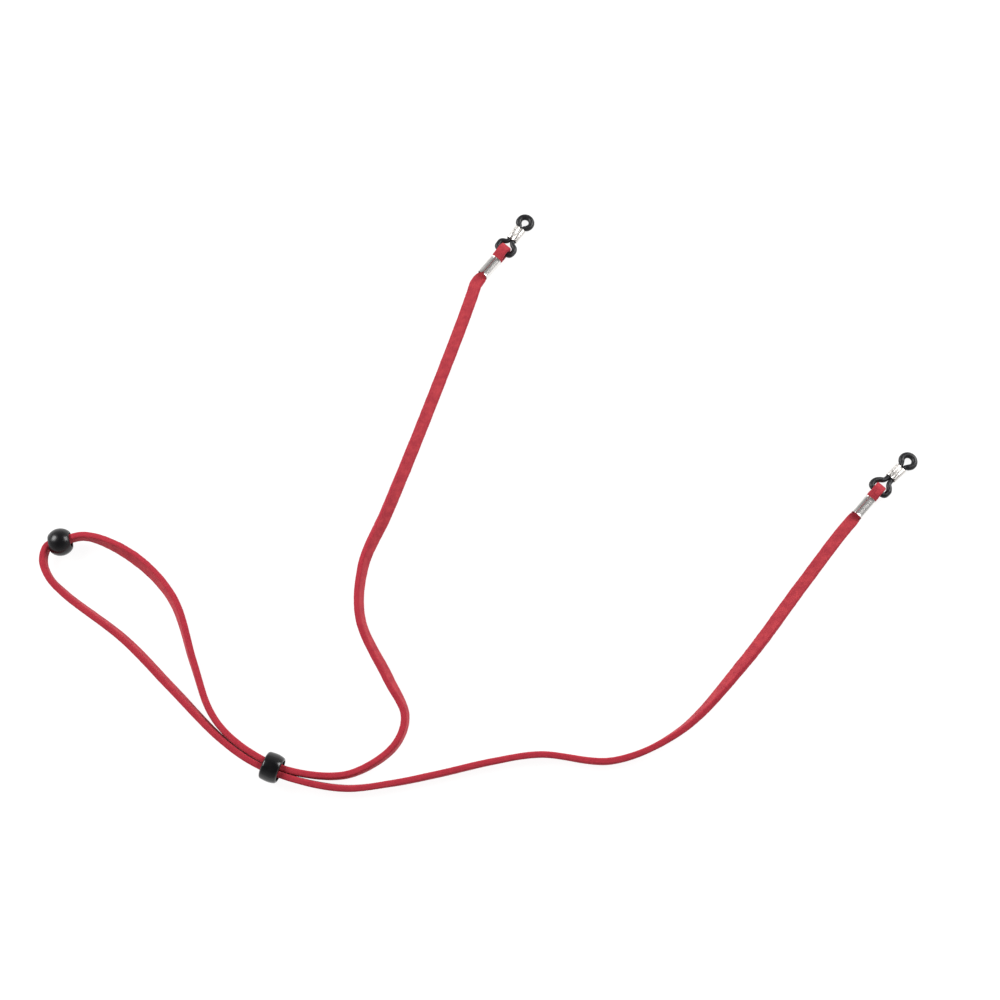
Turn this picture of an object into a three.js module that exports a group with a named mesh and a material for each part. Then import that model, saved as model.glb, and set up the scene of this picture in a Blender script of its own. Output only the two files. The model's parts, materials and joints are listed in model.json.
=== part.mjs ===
// Eyeglass retainer strap, laid out on a table. Millimetres, +Z up, table at z = 0.
// One suede lace runs from the right crimp, through the slider, round the neck loop with its bead,
// back through the slider and on to the left crimp. At each end it is folded over a rubber loop.
import * as THREE from 'three';

// ---- Lace ----------------------------------------------------------------------------------
const LACE_WIDTH = 4.0;
const LACE_THICKNESS = 2.0;
const LACE_CORNER = 0.5; // the chamfer on each edge of its section
const LACE_STEP = 6; // the furthest between two rings of the sweep

// ---- Folded and crimped ends, measured out from the rubber strand's axis -------------------
const STRAND_RADIUS = 0.9;
const FOLD_WIDTH = 3.4;
const FOLD_THICKNESS = 1.3;
const FOLD_RADIUS = 1.7; // of the lace's middle, round the strand
const PIVOT_HEIGHT = FOLD_RADIUS + FOLD_THICKNESS / 2;
const CRIMP_OUTER_END = -3.4;
const CRIMP_LENGTH = 7.2;
const CRIMP_SIZE = 3.66; // outside, both ways
const CRIMP_WALL = 0.3;
const CRIMP_CORNER = 0.6;
const CRIMP_SEAM = 0.25; // the gap where the strip's two edges meet
const PRESSED_WIDTH = 2.9;
const PRESSED_THICKNESS = 1.4;
const LOWER_LAYER = 1.08; // height of each layer's middle inside the crimp
const UPPER_LAYER = 2.58;

// ---- Rubber loop: an eyelet and a wide loop, pinched together by the ribbed sleeve ----------
const EYELET_RADIUS = 2.1;
const EYELET_STRAND = 0.97; // the strand's radius round the eyelet
const WIDE_HALF = 2.8; // the wide loop's half width, to the strand's middle
const WIDE_CORNER = 1.0;
const NECK_HALF = 0.825; // half the pitch of the two strands in the neck
const NECK_STRAND = 0.78; // the strand's radius where it is pinched
const LOOP_TILT = THREE.MathUtils.degToRad(4.5); // the eyelet rests on the table

// ---- Ribbed sleeve -------------------------------------------------------------------------
const SLEEVE_LENGTH = 5.1;
const SLEEVE_CLEARANCE = 0.1;
const SLEEVE_WALL = 0.25;

// ---- Bead and slider -----------------------------------------------------------------------
const BEAD_RADIUS = 4.35;
const BEAD_BORE = 2.4;
const BEAD_AT = new THREE.Vector3(-133.17, -18.01, BEAD_RADIUS);
const BEAD_HEADING = THREE.MathUtils.degToRad(12.5);
const SLIDER_RADIUS = 4.5;
const SLIDER_BORE = 3.5;
const SLIDER_LENGTH = 5.85;
const SLIDER_ROUND = 0.7;
const SLIDER_ARC_CENTRE = new THREE.Vector2(-45.1, -44.2); // both runs bend about this point
const SLIDER_ARC_RADIUS = 48;
const SLIDER_ANGLE = THREE.MathUtils.degToRad(247.8);

// Each end: where the rubber strand crosses the fold, which way the crimp points, and its rubber
// loop: which way it turns aside, its shoulders, its straight neck, and its eyelet's distance.
const RIGHT_END = {
  x: 124.36, y: -0.8, heading: THREE.MathUtils.degToRad(48.4), seam: 0.6,
  ring: {
    yaw: THREE.MathUtils.degToRad(-4.6), shoulder: [[2.3, 2.72], [3.3, 2.05], [4.1, 1.2]],
    neckStart: 4.9, neckEnd: 12.3, eyelet: 14.6, sleeveStart: 6.2,
  },
};
const LEFT_END = {
  x: 5.64, y: 80.85, heading: THREE.MathUtils.degToRad(50.5), seam: 0,
  ring: {
    yaw: THREE.MathUtils.degToRad(4.5), shoulder: [[2.3, 2.8], [3.1, 2.3], [3.65, 1.35]],
    neckStart: 4.2, neckEnd: 10.8, eyelet: 12.85, sleeveStart: 5.0,
  },
};

// The lace's route from the right end to the left end, a row for each place on the table:
// x, y, roll in degrees (0 lies flat, 90 stands on edge), and how far it is lifted off the table.
const ROUTE = [
  [111.22, -15.79, 2, 0],
  [98.88, -31.71, 4, 0],
  [79.33, -56.86, 40, 0],
  [59.73, -77.11, 78, 0],
  [39.23, -86.06, 88, 0],
  [16.93, -84.16, 82, 0],
  [2.33, -86.32, 86, 0],
  [-13.87, -90.06, 88, 0],
  [-28.17, -92.93, 86, 0],
  [-42.57, -94.46, 80, 0.4],
  [-58.97, -91.71, 82, 2.1],
  [-70.87, -86.71, 84, 2.1],
  [-80.92, -79.36, 76, 1.8],
  [-96.97, -63.26, 72, 0.4],
  [-111.87, -48.56, 72, 0],
  [-130.97, -34.36, 78, 0.7],
  [-136.07, -29.26, 86, 1.4],
  [-138.17, -23.96, 87, 2],
  [-136.97, -19.36, 87, 2.3],
  [-133.17, -18.01, 87, 2.3],
  [-125.27, -16.16, 82, 2.2],
  [-110.97, -22.06, 52, 0.5],
  [-97.77, -35.36, 62, 0],
  [-90.12, -55.96, 76, 0.1],
  [-84.67, -70.26, 82, 1],
  [-79.07, -77.46, 90, 1.8],
  [-69.67, -84.56, 90, 2.1],
  [-58.37, -89.41, 90, 2.1],
  [-42.67, -90.51, 88, 0.4],
  [-31.77, -85.46, 84, 0],
  [-26.27, -79.66, 82, 0],
  [-24.47, -72.06, 76, 0],
  [-30.07, -60.26, 56, 0],
  [-38.72, -42.16, 66, 0],
  [-38.22, -25.06, 60, 0],
  [-31.37, -8.06, 30, 0],
  [-22.37, 15.64, 12, 0],
  [-9.27, 51.74, 6, 0],
  [-5.02, 64.24, 3, 0],
];

const UP = new THREE.Vector3(0, 0, 1);

const material = (color, roughness, metalness) =>
  new THREE.MeshStandardMaterial({ color, roughness, metalness });
const suede = material(0xb8434c, 0.95, 0);
const rubber = material(0x35343a, 0.55, 0);
const nickel = material(0xc9c5bf, 0.25, 1);
const satinBlack = material(0x26252a, 0.45, 0);
const glossBlack = material(0x1b1b1e, 0.15, 0);

const group = new THREE.Group();

function addMesh(parent, name, geometry, finish) {
  const mesh = new THREE.Mesh(geometry, finish);
  mesh.name = name;
  parent.add(mesh);
  return mesh;
}

// ---- The lace's stations -------------------------------------------------------------------

// The corners of the lace's section, across and through it, for a width and a thickness.
function sectionCorners(width, thickness) {
  const u = width / 2;
  const v = thickness / 2;
  const c = LACE_CORNER * (thickness / LACE_THICKNESS);
  return [
    [u, v - c], [u - c, v], [c - u, v], [-u, v - c],
    [-u, c - v], [c - u, -v], [u - c, -v], [u, c - v],
  ].map(([x, y]) => new THREE.Vector2(x, y));
}

// How high the lace's middle lies over the table when it is rolled and touches it.
function restingHeight(roll) {
  const lows = sectionCorners(LACE_WIDTH, LACE_THICKNESS)
    .map(({ x, y }) => x * Math.sin(roll) + y * Math.cos(roll));
  return Math.max(...lows);
}

const outward = (end) => new THREE.Vector3(Math.cos(end.heading), Math.sin(end.heading), 0);

function endPoint(end, out, height) {
  return outward(end).multiplyScalar(out).add(new THREE.Vector3(end.x, end.y, height));
}

// An end's stations, from the tail in the crimp, round the strand and back out of the crimp.
// turn is 1 where the lace sets off from this end, and -1 where it arrives.
function foldedEnd(end, turn) {
  const across = outward(end).cross(UP).multiplyScalar(turn);
  const station = (out, height, width, thickness) =>
    ({ at: endPoint(end, out, height), across, width, thickness });
  const pressed = (out, height) => station(out, height, PRESSED_WIDTH, PRESSED_THICKNESS);
  const stations = [
    pressed(-10.3, UPPER_LAYER),
    pressed(-7.0, UPPER_LAYER),
    pressed(-3.3, UPPER_LAYER),
    station(-2.3, 3.05, 3.3, 1.35),
    station(-1.2, 3.75, FOLD_WIDTH, FOLD_THICKNESS),
  ];
  const arcSteps = 6;
  for (let i = 0; i <= arcSteps; i++) {
    const angle = Math.PI * (0.5 - i / arcSteps);
    const out = FOLD_RADIUS * Math.cos(angle);
    const height = PIVOT_HEIGHT + FOLD_RADIUS * Math.sin(angle);
    stations.push(station(out, height, FOLD_WIDTH, FOLD_THICKNESS));
  }
  stations.push(
    station(-1.2, 0.75, FOLD_WIDTH, FOLD_THICKNESS),
    station(-2.3, 0.95, 3.3, 1.35),
    pressed(-3.3, LOWER_LAYER),
    pressed(-7.0, LOWER_LAYER),
    pressed(-10.7, LOWER_LAYER),
    station(-11.5, 1.04, 3.3, 1.7),
    station(-12.6, 1.0, 3.8, 1.95),
  );
  return stations;
}

// The free run's stations, on one smooth curve through the route's places.
function freeRun() {
  const rows = [
    [...endPoint(RIGHT_END, -14, 0).toArray().slice(0, 2), 0, 0],
    ...ROUTE,
    [...endPoint(LEFT_END, -14, 0).toArray().slice(0, 2), 0, 0],
  ];
  const plan = new THREE.CatmullRomCurve3(
    rows.map(([x, y]) => new THREE.Vector3(x, y, 0)), false, 'centripetal');
  const attitude = new THREE.CatmullRomCurve3(
    rows.map(([, , roll, lift]) => new THREE.Vector3(roll, lift, 0)), false, 'catmullrom');
  const stations = [];
  for (let i = 0; i < rows.length - 1; i++) {
    const [x0, y0] = rows[i];
    const [x1, y1] = rows[i + 1];
    const steps = Math.max(2, Math.ceil(Math.hypot(x1 - x0, y1 - y0) / LACE_STEP));
    const last = i === rows.length - 2 ? 1 : 0;
    for (let k = 0; k < steps + last; k++) {
      const t = (i + k / steps) / (rows.length - 1);
      const turned = attitude.getPoint(t);
      const roll = THREE.MathUtils.degToRad(turned.x);
      const at = plan.getPoint(t);
      at.z = restingHeight(roll) + Math.max(turned.y, 0);
      const side = UP.clone().cross(plan.getTangent(t)).normalize();
      const across = side.multiplyScalar(Math.cos(roll)).addScaledVector(UP, Math.sin(roll));
      stations.push({ at, across, width: LACE_WIDTH, thickness: LACE_THICKNESS });
    }
  }
  return stations;
}

// A straight extrusion whose rings are then laid on the stations, so that it can twist and narrow.
function sweep(stations) {
  const steps = stations.length - 1;
  const unit = new THREE.Shape(sectionCorners(LACE_WIDTH, LACE_THICKNESS));
  const geometry = new THREE.ExtrudeGeometry(unit, { depth: steps, steps, bevelEnabled: false });
  const frames = stations.map((station, i) => {
    const before = stations[Math.max(i - 1, 0)].at;
    const after = stations[Math.min(i + 1, steps)].at;
    const along = after.clone().sub(before).normalize();
    const through = along.clone().cross(station.across).normalize();
    return { ...station, along, through, across: through.clone().cross(along) };
  });
  const position = geometry.attributes.position;
  for (let i = 0; i < position.count; i++) {
    const frame = frames[Math.round(position.getZ(i))];
    const u = position.getX(i) * (frame.width / LACE_WIDTH);
    const v = position.getY(i) * (frame.thickness / LACE_THICKNESS);
    const placed = frame.at.clone().addScaledVector(frame.across, u).addScaledVector(frame.through, v);
    position.setXYZ(i, placed.x, placed.y, placed.z);
  }
  return geometry;
}

const lace = sweep([
  ...foldedEnd(RIGHT_END, 1),
  ...freeRun(),
  ...foldedEnd(LEFT_END, -1).reverse(),
]);
addMesh(group, 'lace', lace, suede);

// ---- Rubber loops, sleeves and crimps ------------------------------------------------------

// Turns a shape drawn in XY and extruded along Z so that it is drawn across and up, and runs out.
const ACROSS_UP_OUT = new THREE.Matrix4().makeBasis(
  new THREE.Vector3(0, 1, 0), new THREE.Vector3(0, 0, 1), new THREE.Vector3(1, 0, 0));

// The middle line of the rubber loop, closed, in its own plane: X runs out to the eyelet.
function rubberLine({ shoulder, neckStart, neckEnd, eyelet }) {
  const half = [new THREE.Vector3(0, 0.9, 0)];
  for (const degrees of [180, 150, 120, 90]) {
    const angle = THREE.MathUtils.degToRad(degrees);
    half.push(new THREE.Vector3(
      WIDE_CORNER * (1 + Math.cos(angle)),
      WIDE_HALF - WIDE_CORNER + WIDE_CORNER * Math.sin(angle), 0));
  }
  half.push(...shoulder.map(([x, y]) => new THREE.Vector3(x, y, 0)));
  for (let i = 0; i <= 3; i++) {
    half.push(new THREE.Vector3(neckStart + (i / 3) * (neckEnd - neckStart), NECK_HALF, 0));
  }
  for (const degrees of [135, 105, 75, 45, 15]) {
    const angle = THREE.MathUtils.degToRad(degrees);
    half.push(new THREE.Vector3(
      eyelet + EYELET_RADIUS * Math.cos(angle), EYELET_RADIUS * Math.sin(angle), 0));
  }
  const mirrored = half.map(({ x, y }) => new THREE.Vector3(x, -y, 0)).reverse();
  return new THREE.CatmullRomCurve3([...half, ...mirrored], true, 'centripetal');
}

// The strand is thin where the sleeve pinches it, and full round the eyelet.
function strandRadius(out, { neckStart, neckEnd }) {
  const { smoothstep, lerp } = THREE.MathUtils;
  const pinched = smoothstep(out, neckStart - 1.6, neckStart);
  const freed = smoothstep(out, neckEnd, neckEnd + 0.9);
  return lerp(lerp(STRAND_RADIUS, NECK_STRAND, pinched), EYELET_STRAND, freed);
}

// The strand crosses the fold squarely, and the rest of the loop has turned aside by the yaw.
function turnAside(point, yaw) {
  const angle = yaw * THREE.MathUtils.smoothstep(point.x, 1.0, 3.4);
  return point.applyAxisAngle(UP, angle);
}

function rubberLoop(ring) {
  const line = rubberLine(ring);
  const rings = 72;
  const sides = 8;
  const tube = new THREE.TubeGeometry(line, rings, 1, sides, true);
  const position = tube.attributes.position;
  const corner = new THREE.Vector3();
  for (let i = 0; i < position.count; i++) {
    const centre = line.getPointAt((Math.floor(i / (sides + 1)) % rings) / rings);
    corner.fromBufferAttribute(position, i).sub(centre);
    corner.multiplyScalar(strandRadius(centre.x, ring)).add(centre);
    turnAside(corner, ring.yaw);
    position.setXYZ(i, corner.x, corner.y, corner.z);
  }
  return tube;
}

// The outline of two round strands side by side, a path of the kind that is passed in.
function twinOutline(path, radius) {
  const meet = Math.acos(NECK_HALF / radius);
  path.absarc(NECK_HALF, 0, radius, meet - Math.PI, Math.PI - meet, false);
  path.absarc(-NECK_HALF, 0, radius, meet, 2 * Math.PI - meet, false);
  return path;
}

function ribbedSleeve() {
  const inner = NECK_STRAND + SLEEVE_CLEARANCE;
  const shape = twinOutline(new THREE.Shape(), inner + SLEEVE_WALL);
  shape.holes.push(twinOutline(new THREE.Path(), inner));
  return new THREE.ExtrudeGeometry(
    shape, { depth: SLEEVE_LENGTH, bevelEnabled: false, curveSegments: 16 })
    .applyMatrix4(ACROSS_UP_OUT);
}

// A strip wrapped round the doubled lace: one wall of even thickness, open along its seam on top.
function laceCrimp(seamAt) {
  const half = CRIMP_SIZE / 2;
  const right = seamAt + CRIMP_SEAM / 2;
  const left = seamAt - CRIMP_SEAM / 2;
  const quarter = Math.PI / 2;
  const shape = new THREE.Shape();
  const corner = (x, y, radius, from, clockwise) =>
    shape.absarc(x, y, radius, from, from + (clockwise ? -quarter : quarter), clockwise);
  const reach = half - CRIMP_CORNER;
  const low = CRIMP_CORNER;
  const high = CRIMP_SIZE - CRIMP_CORNER;
  const inner = CRIMP_CORNER - CRIMP_WALL;
  shape.moveTo(left, CRIMP_SIZE);
  corner(-reach, high, CRIMP_CORNER, quarter, false);
  corner(-reach, low, CRIMP_CORNER, 2 * quarter, false);
  corner(reach, low, CRIMP_CORNER, 3 * quarter, false);
  corner(reach, high, CRIMP_CORNER, 0, false);
  shape.lineTo(right, CRIMP_SIZE);
  shape.lineTo(right, CRIMP_SIZE - CRIMP_WALL);
  corner(reach, high, inner, quarter, true);
  corner(reach, low, inner, 0, true);
  corner(-reach, low, inner, -quarter, true);
  corner(-reach, high, inner, -2 * quarter, true);
  shape.lineTo(left, CRIMP_SIZE - CRIMP_WALL);
  return new THREE.ExtrudeGeometry(
    shape, { depth: CRIMP_LENGTH, bevelEnabled: false, curveSegments: 3 })
    .applyMatrix4(ACROSS_UP_OUT);
}

function addEnd(side, end) {
  const mount = new THREE.Group();
  mount.position.set(end.x, end.y, 0);
  mount.rotation.z = end.heading;
  group.add(mount);
  const crimp = addMesh(mount, `${side}_lace_crimp`, laceCrimp(end.seam), nickel);
  crimp.position.x = CRIMP_OUTER_END - CRIMP_LENGTH;
  const loop = new THREE.Group();
  loop.position.z = PIVOT_HEIGHT;
  loop.rotation.y = LOOP_TILT;
  mount.add(loop);
  addMesh(loop, `${side}_rubber_loop`, rubberLoop(end.ring), rubber);
  const sleeve = addMesh(loop, `${side}_loop_sleeve`, ribbedSleeve(), nickel);
  sleeve.position.copy(turnAside(new THREE.Vector3(end.ring.sleeveStart, 0, 0), end.ring.yaw));
  sleeve.rotation.z = end.ring.yaw;
}
addEnd('right', RIGHT_END);
addEnd('left', LEFT_END);

// ---- Bead and slider -----------------------------------------------------------------------

// A turned part: its profile runs round the wall and closes, and its axis is laid along +X.
function turned(profile, sides) {
  return new THREE.LatheGeometry([...profile, profile[0].clone()], sides).rotateZ(-Math.PI / 2);
}

function beadProfile() {
  const rim = Math.asin(BEAD_BORE / BEAD_RADIUS);
  const profile = [];
  const steps = 14;
  for (let i = 0; i <= steps; i++) {
    const angle = rim + (i / steps) * (Math.PI - 2 * rim);
    profile.push(new THREE.Vector2(BEAD_RADIUS * Math.sin(angle), -BEAD_RADIUS * Math.cos(angle)));
  }
  return profile;
}
const bead = addMesh(group, 'bead', turned(beadProfile(), 36), satinBlack);
bead.position.copy(BEAD_AT);
bead.rotation.z = BEAD_HEADING;

function sliderProfile() {
  const half = SLIDER_LENGTH / 2;
  const profile = [new THREE.Vector2(SLIDER_BORE, -half)];
  for (const sign of [-1, 1]) {
    for (let i = 0; i <= 3; i++) {
      const angle = (sign < 0 ? i - 3 : i) * (Math.PI / 6);
      profile.push(new THREE.Vector2(
        SLIDER_RADIUS - SLIDER_ROUND * (1 - Math.cos(angle)),
        sign * (half - SLIDER_ROUND) + SLIDER_ROUND * Math.sin(angle)));
    }
  }
  profile.push(new THREE.Vector2(SLIDER_BORE, half));
  return profile;
}
const slider = addMesh(group, 'slider', turned(sliderProfile(), 36), glossBlack);
slider.position.set(
  SLIDER_ARC_CENTRE.x + SLIDER_ARC_RADIUS * Math.cos(SLIDER_ANGLE),
  SLIDER_ARC_CENTRE.y + SLIDER_ARC_RADIUS * Math.sin(SLIDER_ANGLE),
  SLIDER_RADIUS);
slider.rotation.z = SLIDER_ANGLE + Math.PI / 2;

export default group;
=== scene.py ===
# %% [markdown]
# # A suede strap that holds glasses round the neck
# One red lace runs from temple to temple. Its two ends are folded over rubber rings and crimped, a
# bead sits at the back of the neck loop, and a barrel slider gathers the two runs of lace. Every
# metal, rubber and plastic piece is small, so its surface has to hold up in a close view. This file
# builds the looks around a fixed frame that already says where each piece is and how it moves.

# %% The frame
import json
import math

import bmesh
import bpy
import numpy as np
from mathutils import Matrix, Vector, noise


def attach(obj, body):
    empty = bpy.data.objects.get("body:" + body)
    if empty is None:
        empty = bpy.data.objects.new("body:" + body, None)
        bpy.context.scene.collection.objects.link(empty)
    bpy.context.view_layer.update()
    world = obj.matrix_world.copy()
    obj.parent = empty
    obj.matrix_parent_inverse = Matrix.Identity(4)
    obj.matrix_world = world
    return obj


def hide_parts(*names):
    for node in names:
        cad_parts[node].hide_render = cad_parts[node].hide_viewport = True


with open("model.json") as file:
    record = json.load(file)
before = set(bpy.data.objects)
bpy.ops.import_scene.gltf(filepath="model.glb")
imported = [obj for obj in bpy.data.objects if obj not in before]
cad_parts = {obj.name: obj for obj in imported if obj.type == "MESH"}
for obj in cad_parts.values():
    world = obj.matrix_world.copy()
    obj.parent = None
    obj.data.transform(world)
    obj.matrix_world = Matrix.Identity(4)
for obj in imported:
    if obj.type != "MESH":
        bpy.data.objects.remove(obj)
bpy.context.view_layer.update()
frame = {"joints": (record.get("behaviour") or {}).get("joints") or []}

# %% [markdown]
# ## The camera
# The strap lies on a table and is seen from nearly straight above. A plan view would do, but a camera
# that leans back by 15 degrees shows the sides of the bead and the crimps too. The lens is longer
# than a normal one, so that things near the frame's edge aren't stretched.

# %% The camera
MM = 0.001
CAMERA_ELEVATION = math.radians(75)
CAMERA_DISTANCE = 0.5742
CAMERA_TARGET = Vector((0.00468, -0.00318, 0))

camera = bpy.data.objects.new("camera", bpy.data.cameras.new("camera"))
camera.data.lens = 65
camera.data.sensor_width = 36
towards_camera = Vector((0, -math.cos(CAMERA_ELEVATION), math.sin(CAMERA_ELEVATION)))
camera.location = CAMERA_TARGET + CAMERA_DISTANCE * towards_camera
camera.rotation_euler = (math.pi / 2 - CAMERA_ELEVATION, 0, 0)
bpy.context.scene.collection.objects.link(camera)
bpy.context.scene.camera = camera
print("camera at", [round(x, 3) for x in camera.location])

# %% [markdown]
# ## Where the lace lies
# A limp lace has one length and takes its shape from the table, so its route comes first. It could be
# simulated, but then its place would depend on a solver. Here it follows a list of places instead, as
# a stylist lays it out. Each row also says how far the flat lace has rolled over, because a
# lace that bends sideways stands up on its edge, and how far it is lifted where it goes through the
# bead and the slider. A centripetal Catmull-Rom curve through the places has no kinks or loops.

# %% The lace's route
LACE_WIDTH = 4.0
LACE_THICKNESS = 2.0
LACE_ROUND = 0.6

# Each end: where the rubber strand crosses the fold, which way the crimp points, and its seam.
# Then its rubber ring: how far it turns aside, its shoulders, its straight neck, the eyelet's
# distance, and where its sleeve starts.
ENDS = {
    "right": {
        "at": (124.36, -0.8), "heading": math.radians(48.4), "seam": 0.6,
        "yaw": math.radians(-4.6), "shoulder": [(2.3, 2.72), (3.3, 2.05), (4.1, 1.2)],
        "neck_start": 4.9, "neck_end": 12.3, "eyelet": 14.6, "sleeve_start": 6.2,
    },
    "left": {
        "at": (5.64, 80.85), "heading": math.radians(50.5), "seam": 0.0,
        "yaw": math.radians(4.5), "shoulder": [(2.3, 2.8), (3.1, 2.3), (3.65, 1.35)],
        "neck_start": 4.2, "neck_end": 10.8, "eyelet": 12.85, "sleeve_start": 5.0,
    },
}

# x, y, roll in degrees (0 lies flat, 90 stands on edge) and lift, in millimetres.
ROUTE = [
    (111.22, -15.79, 2, 0),
    (98.88, -31.71, 4, 0),
    (79.33, -56.86, 40, 0),
    (59.73, -77.11, 78, 0),
    (39.23, -86.06, 88, 0),
    (16.93, -84.16, 82, 0),
    (2.33, -86.32, 86, 0),
    (-13.87, -90.06, 88, 0),
    (-28.17, -92.93, 86, 0),
    (-42.57, -94.46, 80, 0.4),
    (-58.93, -91.56, 84, 2.1),
    (-70.78, -86.55, 84, 2.1),
    (-80.82, -79.25, 78, 1.8),
    (-96.97, -63.26, 72, 0.4),
    (-111.87, -48.56, 72, 0),
    (-130.97, -34.36, 78, 0.7),
    (-136.07, -29.26, 86, 1.4),
    (-138.17, -23.96, 87, 2),
    (-136.97, -19.36, 87, 2.3),
    (-133.17, -18.01, 87, 2.3),
    (-125.27, -16.16, 82, 2.2),
    (-110.97, -22.06, 52, 0.5),
    (-97.77, -35.36, 62, 0),
    (-90.12, -55.96, 76, 0.1),
    (-84.67, -70.26, 82, 1),
    (-79.2, -77.6, 88, 1.8),
    (-69.75, -84.7, 90, 2.1),
    (-58.41, -89.54, 90, 2.1),
    (-42.67, -90.51, 88, 0.4),
    (-31.77, -85.46, 84, 0),
    (-26.27, -79.66, 82, 0),
    (-24.47, -72.06, 76, 0),
    (-30.07, -60.26, 56, 0),
    (-38.72, -42.16, 66, 0),
    (-38.22, -25.06, 60, 0),
    (-31.37, -8.06, 30, 0),
    (-22.37, 15.64, 12, 0),
    (-9.27, 51.74, 6, 0),
    (-5.02, 64.24, 3, 0),
]


def curve_point(points, place, centripetal=True):
    """The point on the Catmull-Rom curve through points, at place 0 to len(points) - 1."""
    index = min(int(place), len(points) - 2)
    p1, p2 = points[index], points[index + 1]
    p0 = points[index - 1] if index > 0 else 2 * p1 - p2
    p3 = points[index + 2] if index + 2 < len(points) else 2 * p2 - p1
    power = 0.5 if centripetal else 0.0
    d0, d1, d2 = (max(np.linalg.norm(b - a), 1e-9) ** power for a, b in ((p0, p1), (p1, p2), (p2, p3)))
    leave = ((p1 - p0) / d0 - (p2 - p0) / (d0 + d1) + (p2 - p1) / d1) * d1
    arrive = ((p2 - p1) / d1 - (p3 - p1) / (d1 + d2) + (p3 - p2) / d2) * d1
    t = place - index
    bend = -3 * p1 + 3 * p2 - 2 * leave - arrive
    twist = 2 * p1 - 2 * p2 + leave + arrive
    return p1 + t * leave + t**2 * bend + t**3 * twist


def end_point(end, out, across=0.0, height=0.0):
    """A place at one end: out along its heading, across to the left of that, and up."""
    c, s = math.cos(end["heading"]), math.sin(end["heading"])
    x, y = end["at"]
    return np.array([x + out * c - across * s, y + out * s + across * c, height])


# %% [markdown]
# ## The lace's section
# Suede lace is cut from a sheet: two napped faces, two cut sides, and corners worn round. One closed
# outline of short steps is swept along the route. The same outline also says how high the lace's
# middle lies when it is rolled over, since its lowest point has to touch the table.

# %% The section
CORNER_STEPS = 4
FACE_STEPS = 6
SIDE_STEPS = 3


def rounded_outline(width, thickness, radius):
    """The points of a rounded rectangle, turning left from the middle of its right side."""
    points = []
    for quarter in range(4):
        u = width / 2 - radius if quarter in (0, 3) else radius - width / 2
        v = thickness / 2 - radius if quarter in (0, 1) else radius - thickness / 2
        for i in range(CORNER_STEPS + 1):
            angle = math.pi / 2 * (quarter + i / CORNER_STEPS)
            points.append((u + radius * math.cos(angle), v + radius * math.sin(angle)))
        steps = FACE_STEPS if quarter in (0, 2) else SIDE_STEPS
        last, nxt = points[-1], rounded_start(width, thickness, radius, quarter + 1)
        for i in range(1, steps):
            points.append(tuple(a + (b - a) * i / steps for a, b in zip(last, nxt)))
    return np.array(points)


def rounded_start(width, thickness, radius, quarter):
    """Where the rounded rectangle's corner number quarter starts."""
    return {
        1: (radius - width / 2, thickness / 2),
        2: (-width / 2, radius - thickness / 2),
        3: (width / 2 - radius, -thickness / 2),
        4: (width / 2, thickness / 2 - radius),
    }[quarter]


SECTION = rounded_outline(LACE_WIDTH, LACE_THICKNESS, LACE_ROUND)


def resting_height(roll):
    """How high the middle of the rolled lace lies over the table."""
    return float((SECTION[:, 0] * math.sin(roll) + SECTION[:, 1] * math.cos(roll)).max())


print(len(SECTION), "points round the lace; on edge its middle is at", resting_height(math.pi / 2), "mm")

# %% [markdown]
# ## The free lace
# Rings of the section are laid on the route and joined with faces. A curve object with a bevel could
# sweep it too, but it can't be squeezed thin where the crimps hold it, and it has no say over the
# roll. Hand-cut suede has slightly wandering edges, so each point is moved a few hundredths of a
# millimetre by smooth noise, and more at the corners. The mesh carries a UV map in millimetres, along
# and round the lace, so that the nap can follow it, and an attribute that marks the cut corners.

# %% Rings, lofts and pieces
RING_STEP = 0.55
EDGE_WANDER = 0.09
FACE_WANDER = 0.035
# The share of the half width where the cut side begins and where it is full.
CUT_STARTS, CUT_FULL = 0.72, 0.95
COARSE_WANDER, FINE_WANDER = 0.45, 1.9


def unit(vector):
    return vector / np.linalg.norm(vector)


def lace_rings(stations):
    """The rings of a swept lace, from stations of (middle, across, width, thickness)."""
    middles = np.array([station[0] for station in stations])
    rings = []
    for i, (middle, across, width, thickness) in enumerate(stations):
        along = unit(middles[min(i + 1, len(middles) - 1)] - middles[max(i - 1, 0)])
        through = unit(np.cross(along, across))
        sideways = np.cross(through, along)
        scale = np.array([width / LACE_WIDTH, thickness / LACE_THICKNESS])
        ring = []
        for u, v in SECTION:
            point = middle + sideways * u * scale[0] + through * v * scale[1]
            cut = smooth_step(abs(u) / (LACE_WIDTH / 2), CUT_STARTS, CUT_FULL)
            wander = FACE_WANDER + (EDGE_WANDER - FACE_WANDER) * cut
            coarse = noise.noise(Vector(point) * COARSE_WANDER)
            fine = noise.noise(Vector(point) * FINE_WANDER + Vector((7, 3, 1)))
            outward = unit(sideways * u * LACE_THICKNESS + through * v * LACE_WIDTH)
            ring.append(point + outward * wander * (0.6 * coarse + 0.8 * fine))
        rings.append(ring)
    return middles, rings


def smooth_step(x, low, high):
    t = min(max((x - low) / (high - low), 0.0), 1.0)
    return t * t * (3 - 2 * t)


def loft(rings, closed=False):
    """Vertices and faces that join rings of equal count, with flat ends unless it is closed."""
    count, spans = len(rings[0]), len(rings) if closed else len(rings) - 1
    faces = []
    for i in range(spans):
        a, b = i * count, (i + 1) % len(rings) * count
        faces += [(a + k, a + (k + 1) % count, b + (k + 1) % count, b + k) for k in range(count)]
    if not closed:
        last = (len(rings) - 1) * count
        faces += [tuple(reversed(range(count))), tuple(range(last, last + count))]
    return [point for ring in rings for point in ring], faces


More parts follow.
